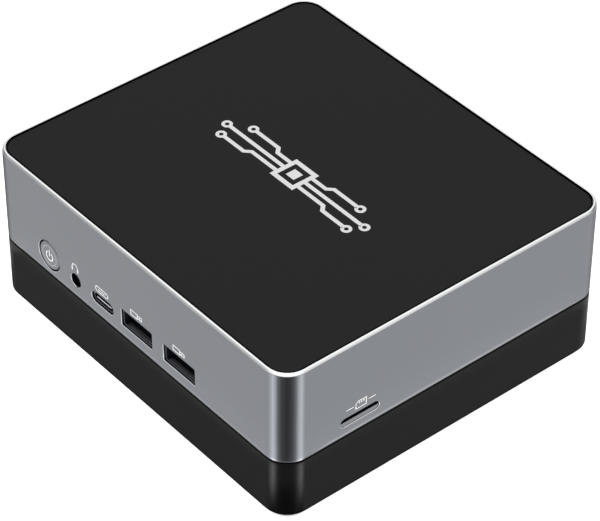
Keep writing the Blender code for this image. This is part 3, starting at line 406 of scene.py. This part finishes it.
def refine(node, edge, finishes_of=(), cuts=(), border=0.0, bright=None, bright_width=0.0, ringed=None):
    """A piece in a CAD node's place with softened edges.

    finishes_of lists (finish, faces that take it), the first for all the rest. cuts lists heights at which
    the faces are divided, and border is the width of a strip divided off round the top face. bright(edge)
    picks the cut edges that show bare metal and get a painted highlight, and ringed(face) the faces that get
    strips round their openings.
    """
    model = bmesh.new()
    model.from_mesh(frame["nodes"][node].data)
    bmesh.ops.remove_doubles(model, verts=model.verts, dist=0.001 * MM)
    bmesh.ops.dissolve_limit(model, angle_limit=math.radians(0.5), verts=model.verts, edges=model.edges)
    for height in cuts:
        bmesh.ops.bisect_plane(model, geom=model.verts[:] + model.edges[:] + model.faces[:],
                               plane_co=(0, 0, height), plane_no=(0, 0, 1))
    if ringed:
        ring_openings(model, ringed)
    if border:
        top = max(model.faces, key=lambda face: face.calc_area() * face.normal.z)
        bmesh.ops.inset_region(model, faces=[top], thickness=border)
    for face in model.faces:
        taken = [i for i, (_, chosen) in enumerate(finishes_of) if i and chosen(face)]
        face.material_index = max(taken, default=0)
    if bright:
        weight = model.edges.layers.float.new("bevel_weight_edge")
        for line in model.edges:
            line[weight] = 1.0 if bright(line) else 0.0
    mesh = bpy.data.meshes.new(node + "_visual")
    model.to_mesh(mesh)
    model.free()
    mesh.shade_smooth()
    for name, _ in finishes_of or ((SLOT_OF[node], None),):
        mesh.materials.append(finishes[name])
    piece = add_object(node + "_visual", mesh, BODY_OF[node])
    # the bevels of the cut edges take bare metal with a painted highlight
    if bright:
        mesh.materials.append(finishes["bare_metal_and_highlight"])
        soften(piece, "cut_edges", bright_width, limit_method="WEIGHT", material=len(mesh.materials) - 1)
    soften(piece, "edges", edge, limit_method="ANGLE", angle_limit=math.radians(38))
    normals = piece.modifiers.new("normals", "WEIGHTED_NORMAL")
    normals.mode = "FACE_AREA"
    normals.weight = 100
    normals.keep_sharp = True
    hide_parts(node)
    return piece


def coat_all():
    for node, thing in frame["nodes"].items():
        thing.data.materials.clear()
        thing.data.materials.append(finishes[SLOT_OF[node]])


# Heights of the painted highlight strip over the seam and of the painted shade strip at the bottom of the
# base
SEAM_HIGHLIGHT = 1.25 * MM
SHADE_STRIP = 1.25 * MM
base_low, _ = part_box("base_cover")


def is_rim(face):
    return face.calc_center_median().z > shell_high.z - 0.6 * MM and face.normal.z > 0.3


def is_seam_highlight(face):
    """The lowest strip of the silver band's flat sides, brighter where it meets the base: a painted highlight
    of its lower edge.
    """
    height = face.calc_center_median().z - shell_low.z
    flat_side = is_outer([vert.co for vert in face.verts]) and face.calc_area() > 20 * MM * MM
    return flat_side and 0.3 * MM < height < SEAM_HIGHLIGHT


def is_painted_shade_strip(face):
    """The lowest strip of the base, painted near-black: painted shade where the base meets the floor."""
    return face.calc_center_median().z < base_low.z + SHADE_STRIP and abs(face.normal.z) < 0.9


def is_lid_shade_strip(face):
    """The sides of the lid and the narrow strip round its top, painted dark: painted shade of the gap round
    the lid.
    """
    at_top = face.calc_center_median().z > lid_top - 0.01 * MM
    return abs(face.normal.z) < 0.9 or (at_top and face.calc_area() < 100 * MM * MM)


def is_outer(points):
    """Whether the points all lie on one upright side of the enclosure or on its round corners."""
    on_x = all(abs(abs(p.x) - HALF_X) < 0.01 * MM for p in points)
    on_y = all(abs(abs(p.y) - HALF_Y) < 0.01 * MM for p in points)
    past = [(abs(p.x) - HALF_X + CORNER, abs(p.y) - HALF_Y + CORNER) for p in points]
    on_bend = all(max(x, y) > 0 and abs(math.hypot(x, y) - CORNER) < 0.02 * MM for x, y in past)
    return on_x or on_y or on_bend


def is_cut_edge(line):
    """An edge of an opening in an outer face."""
    ends = [vert.co for vert in line.verts]
    inside = all(shell_low.z + SEAM_HIGHLIGHT + 0.1 * MM < p.z < shell_high.z - 0.8 * MM for p in ends)
    flat = any(all(abs(abs(p[k]) - half) < 0.01 * MM for p in ends) for k, half in ((0, HALF_X), (1, HALF_Y)))
    return inside and flat and len(line.link_faces) == 2 and line.calc_face_angle(0.0) > 0.6


def is_inner_wall(face):
    """A wall inside the shell, behind the front or the rear face."""
    inside = abs(face.calc_center_median().y) < HALF_Y - MM
    return inside and abs(face.normal.y) > 0.99 and face.calc_area() > 100 * MM * MM


def is_base_floor(face):
    return abs(face.normal.z) > 0.99 and face.calc_center_median().z < base_low.z + 3 * MM


def make_enclosure():
    shell_finishes = (("shell_silver", None), ("rim_bright", is_rim), ("seam_painted_highlight", is_seam_highlight))
    refine("middle_shell", 0.10 * MM, shell_finishes, cuts=(shell_low.z + SEAM_HIGHLIGHT,), bright=is_cut_edge,
           bright_width=0.17 * MM, ringed=is_inner_wall)
    # the lid's sides and top border take painted shade of the gap
    refine("top_lid", 0.05 * MM, (("cover_black", None), ("painted_gap_shade", is_lid_shade_strip)), border=0.22 * MM)
    # the lowest strip of the base takes painted shade
    refine("base_cover", 0.12 * MM, (("base_black", None), ("painted_shade_black", is_painted_shade_strip)),
           cuts=(base_low.z + SHADE_STRIP,), ringed=is_base_floor)
    refine("power_button", 0.10 * MM)
    for node in frame["nodes"]:
        if node.startswith("foot_"):
            refine(node, 0.12 * MM)
        elif node.startswith("base_screw_") or node in ("dc_pin", "lan_jack", "card_socket"):
            refine(node, 0.05 * MM)
        elif node.endswith("_shell") and node != "middle_shell":
            low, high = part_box(node)
            mouth = low.y if low.y < 0 else high.y

            def at_mouth(face, mouth=mouth):
                return abs(face.calc_center_median().y - mouth) < 0.02 * MM

            # the faces at the mouth take the painted highlight
            refine(node, 0.05 * MM, (("socket_steel", None), ("socket_mouth_highlight", at_mouth)))
        elif node.endswith("_tongue") or node in ("audio_jack", "dc_jack"):
            refine(node, 0.06 * MM)


# ---- printed marks and small fittings

class Drawing:
    """Flat shapes drawn on a face, each raised a little more than the last so that they never coincide."""

    def __init__(self, name, origin, across, upwards):
        self.name = name
        self.origin, self.across, self.upwards = Vector(origin), Vector(across), Vector(upwards)
        self.out = self.across.cross(self.upwards)
        self.model = bmesh.new()
        self.count = 0

    def solid(self, outline, thick=0.02 * MM, deep=0.02 * MM):
        """Closed plate with this outline, anticlockwise, in millimetres."""
        self.count += 1
        top = thick + 0.002 * MM * (self.count % 5)
        rings = []
        for depth in (-deep, top):
            rings.append([self.model.verts.new(
                self.origin + u * MM * self.across + v * MM * self.upwards + depth * self.out
            ) for u, v in outline])
        low, high = rings
        for i in range(len(outline)):
            self.model.faces.new((low[i - 1], low[i], high[i], high[i - 1]))
        self.model.faces.new(high)
        self.model.faces.new(list(reversed(low)))

    def line(self, points, width, closed=False):
        """A line of even width through points, with mitred bends."""
        points = [Vector(p) for p in points]
        count = len(points)
        sides = []
        for i, point in enumerate(points):
            before = points[i - 1] if closed or i else None
            after = points[(i + 1) % count] if closed or i < count - 1 else None
            steps = [(b - a).normalized() for a, b in ((before, point), (point, after)) if a and b]
            normals = [Vector((-s.y, s.x)) for s in steps]
            middle = sum(normals, Vector((0, 0))).normalized()
            reach = width / 2 / max(0.4, middle.dot(normals[0]))
            sides.append((point + reach * middle, point - reach * middle))
        for i in range(0 if closed else 1, count):
            (left_a, right_a), (left_b, right_b) = sides[i - 1], sides[i]
            self.solid([right_a, right_b, left_b, left_a])

    def ring(self, center, radius, width, start=0.0, end=360.0, steps=32):
        angles = [math.radians(start + (end - start) * i / steps) for i in range(steps + 1)]
        points = [(center[0] + radius * math.cos(a), center[1] + radius * math.sin(a)) for a in angles]
        if end - start >= 360:
            self.line(points[:-1], width, closed=True)
        else:
            self.line(points, width)

    def block(self, center, size):
        (u, v), (w, h) = center, (size[0] / 2, size[1] / 2)
        self.solid([(u - w, v - h), (u + w, v - h), (u + w, v + h), (u - w, v + h)])

    def finish(self, finish, slot, body="chassis"):
        bmesh.ops.recalc_face_normals(self.model, faces=self.model.faces[:])
        mesh = bpy.data.meshes.new(self.name)
        self.model.to_mesh(mesh)
        self.model.free()
        mesh.materials.append(finishes[finish])
        add_object(self.name, mesh, body)


def pill(width, height, steps=8):
    """Outline of a plain bar with round ends."""
    bend = height / 2
    points = []
    for side, start in ((1, -90), (-1, 90)):
        for i in range(steps + 1):
            angle = math.radians(start + 180 * i / steps)
            points.append((side * (width / 2 - bend) + bend * math.cos(angle), bend * math.sin(angle)))
    return points


def draw_lid_mark():
    """A plain chip between circuit lines, centred on the lid."""
    mark = Drawing("lid_mark", (0.0, -0.7 * MM, lid_top), (1, 0, 0), (0, 1, 0))
    half = 4.1
    mark.line([(-half, -half), (half, -half), (half, half), (-half, half)], 1.5, closed=True)
    mark.block((0, 0), (3.4, 3.4))
    for side in (-1, 1):
        for height, bend, far in ((2.6, 12.0, 22.0), (0.0, 0.0, 28.6), (-2.6, 17.0, 26.0)):
            shift = 1.6 if height > 0 else (-1.6 if height < 0 else 0.0)
            path = [(side * 4.85, height)]
            if bend:
                path += [(side * (bend - 1.6), height), (side * bend, height + shift)]
            end = height + shift
            path.append((side * far, end))
            mark.line(path, 1.25)
            mark.ring((side * (far + 1.0), end), 1.15, 0.95, steps=24)
    mark.finish("print_white", "cover_black")


def front_drawing(name, x, z, y=None):
    return Drawing(name, (x * MM, -HALF_Y if y is None else y, shell_low.z + z * MM), (1, 0, 0), (0, 0, 1))


def draw_front_marks():
    button_low, button_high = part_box("power_button")
    center_x = (button_low.x + button_high.x) / 2 / MM
    center_z = ((button_low.z + button_high.z) / 2 - shell_low.z) / MM
    power = front_drawing("power_mark", center_x, center_z, button_low.y)
    power.ring((0, -0.15), 1.5, 0.42, start=125, end=415, steps=26)
    power.line([(0, -0.2), (0, 2.05)], 0.42)
    power.finish("print_white", "shell_silver", "power_button")
    # painted highlight: a thin bright ring on the flat button face, standing for the light on the edge of its
    # dish
    highlight_ring = front_drawing("button_highlight_ring", center_x, center_z, button_low.y)
    highlight_ring.ring((0, 0), 3.15, 0.16, steps=48)
    highlight_ring.finish("bare_metal_and_highlight", "shell_silver", "power_button")

    sound = front_drawing("audio_mark", -26.3, 10.35)
    sound.ring((0, 0), 1.25, 0.3, start=-10, end=190, steps=18)
    sound.block((-1.25, -0.75), (0.55, 1.2))
    sound.block((1.25, -0.75), (0.55, 1.2))
    sound.finish("print_white", "shell_silver")

    small = front_drawing("usb_c_mark", -14.0, 9.65)
    small.line(pill(5.6, 1.7), 0.3, closed=True)
    small.block((0, 0), (3.2, 0.3))
    small.finish("print_white", "shell_silver")

    for name in ("left", "right"):
        low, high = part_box(f"usb_a_front_{name}_shell")
        plug = front_drawing(f"usb_a_{name}_mark", (low.x + high.x) / 2 / MM, 11.55)
        plug.line([(-2.3, -0.8), (0.6, -0.8), (0.6, 0.8), (-2.3, 0.8)], 0.3, closed=True)
        plug.line([(0.6, -0.5), (2.5, -0.5), (2.5, 0.5), (0.6, 0.5)], 0.28)
        plug.block((1.5, 0.0), (0.5, 0.35))
        plug.finish("print_white", "shell_silver")


def draw_side_mark():
    low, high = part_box("card_socket")
    origin = (HALF_X, (low.y + high.y) / 2 + 0.3 * MM, shell_low.z + 8.9 * MM)
    card = Drawing("card_mark", origin, (0, 1, 0), (0, 0, 1))
    card.line([(-1.8, -1.2), (1.8, -1.2), (1.8, 1.2), (-1.0, 1.2), (-1.8, 0.4)], 0.28, closed=True)
    for at in (-0.6, 0.2, 1.0):
        card.block((at, 0.55), (0.3, 0.75))
    for side in (-1, 1):
        card.line([(side * 2.6, 0.0), (side * 5.1, 0.0)], 0.28)
    card.finish("print_white", "shell_silver")


def make_card_ramp():
    """The silver lip that fills the lower half of the card slot, a little behind the face."""
    low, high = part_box("card_socket")
    middle, bend = (low.y + high.y) / 2, 1.5
    ramp = Drawing("card_ramp", (HALF_X - 0.3 * MM, middle, shell_low.z + 4.85 * MM), (0, 1, 0), (0, 0, 1))
    outline = []
    for side, start in ((-1, 180), (1, 270)):
        for i in range(7):
            angle = math.radians(start + 15 * i)
            outline.append((side * (6.75 - bend) + bend * math.cos(angle), bend * math.sin(angle)))
    ramp.solid(outline, deep=1.2 * MM)
    ramp.finish("shell_silver", "shell_silver")


def add_blocks(name, boxes, finish):
    """Small rectangular fittings, as corner pairs in metres."""
    model = bmesh.new()
    for low, high in boxes:
        grid = bmesh.ops.create_cube(model, size=1.0)["verts"]
        for vert in grid:
            vert.co = Vector([low[k] + (vert.co[k] + 0.5) * (high[k] - low[k]) for k in range(3)])
    mesh = bpy.data.meshes.new(name)
    model.to_mesh(mesh)
    model.free()
    mesh.materials.append(finishes[finish])
    soften(add_object(name, mesh, "chassis"), "edges", 0.03 * MM)


def make_contacts():
    """Contact springs on the tongues of the large sockets, and the lamps of the network socket."""
    for place, face in (("front_left", -1), ("front_right", -1), ("rear_left", 1), ("rear_right", 1)):
        low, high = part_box(f"usb_a_{place}_tongue")
        middle, underside = (low.x + high.x) / 2, (low.z + high.z) / 2 + 0.08 * MM
        mouth = low.y if face < 0 else high.y
        boxes = []
        for at in (-3.5, -1.0, 1.0, 3.5):
            ends = sorted((mouth - face * 0.5 * MM, mouth - face * 7.5 * MM))
            boxes.append(((middle + (at - 0.5) * MM, ends[0], underside - 0.12 * MM),
                          (middle + (at + 0.5) * MM, ends[1], underside + 0.05 * MM)))
        add_blocks(f"usb_a_{place}_contacts", boxes, "contact_gold")
        springs, bottom = [], (low.z + high.z) / 2 - 2.45 * MM
        for depth in (1.0, 1.45, 1.9):
            ends = sorted((face * (HALF_Y - depth * MM), face * (HALF_Y - (depth + 0.16) * MM)))
            springs.append(((middle - 5.4 * MM, ends[0], bottom),
                            (middle + 5.4 * MM, ends[1], bottom + 0.2 * MM)))
        add_blocks(f"usb_a_{place}_springs", springs, "screw_steel")
    # the small socket's contacts, carried ahead of the tongue's front edge as a painted highlight of that
    # edge
    low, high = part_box("usb_c_tongue")
    middle, level = (low.x + high.x) / 2, (low.z + high.z) / 2
    add_blocks("usb_c_contacts_and_highlight", [((middle - 3.2 * MM, low.y - 0.68 * MM, level - 0.30 * MM),
                                   (middle + 3.3 * MM, low.y + 3.0 * MM, level + 0.12 * MM))],
               "bare_metal_and_highlight")
    low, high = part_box("lan_jack")
    for name, side in (("green", low.x + 0.9 * MM), ("amber", high.x - 3.3 * MM)):
        add_blocks(f"lan_lamp_{name}", [((side, high.y - 1.5 * MM, high.z - 1.75 * MM),
                                         (side + 2.4 * MM, high.y + 0.12 * MM, high.z - 0.75 * MM))],
                   f"lamp_{name}")
    middle, top = (low.x + high.x) / 2, high.z - 2.1 * MM
    add_blocks("lan_contacts", [
        ((middle + (i - 3.5) * 1.02 * MM - 0.2 * MM, high.y - 11.0 * MM, top - 1.6 * MM),
         (middle + (i - 3.5) * 1.02 * MM + 0.2 * MM, high.y - 1.6 * MM, top - 1.2 * MM)) for i in range(8)
    ], "contact_gold")


make_camera()
make_world()
make_floor()
make_reflectors()
bpy.context.scene.view_settings.view_transform = "Standard"
coat_all()
make_enclosure()
draw_lid_mark()
draw_front_marks()
draw_side_mark()
make_card_ramp()
make_contacts()
